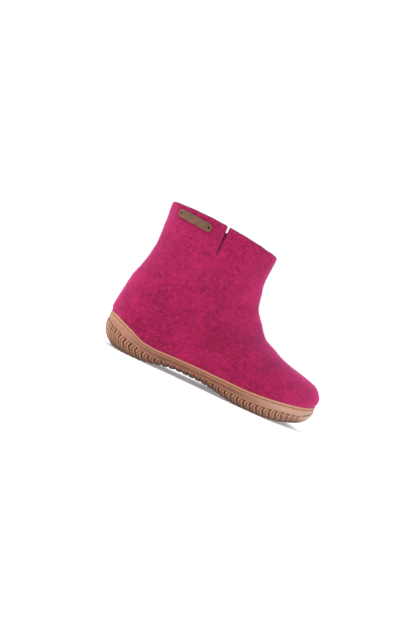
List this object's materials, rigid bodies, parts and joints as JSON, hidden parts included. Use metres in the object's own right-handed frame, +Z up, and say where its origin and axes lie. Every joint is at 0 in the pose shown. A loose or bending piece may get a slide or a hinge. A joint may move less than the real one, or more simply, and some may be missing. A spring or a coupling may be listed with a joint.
{
  "type": "felt slipper",
  "caption": "Ankle-high felt slipper for the right foot: seamless wool-felt upper with a slit collar and a leather tag, in a moulded rubber cup sole with zigzag ribs.",
  "frame": {"origin": "on the floor under the middle of the shoe's box", "axes": "+X towards the toe, +Z up, -Y towards the outer side of the right foot, where the tag and the slit are"},
  "size_m": [0.26, 0.097, 0.1785],
  "materials": {
    "felt": "matte wool felt, fuzzy",
    "sole_rubber": "matte gum rubber",
    "insole_felt": "matte felt",
    "tag_leather": "satin vegetable-tanned leather"
  },
  "bodies": {
    "root": {"outsole": "sole_rubber", "upper": "felt", "insole": "insole_felt", "collar_tag": "tag_leather"}
  },
  "joints": []
}
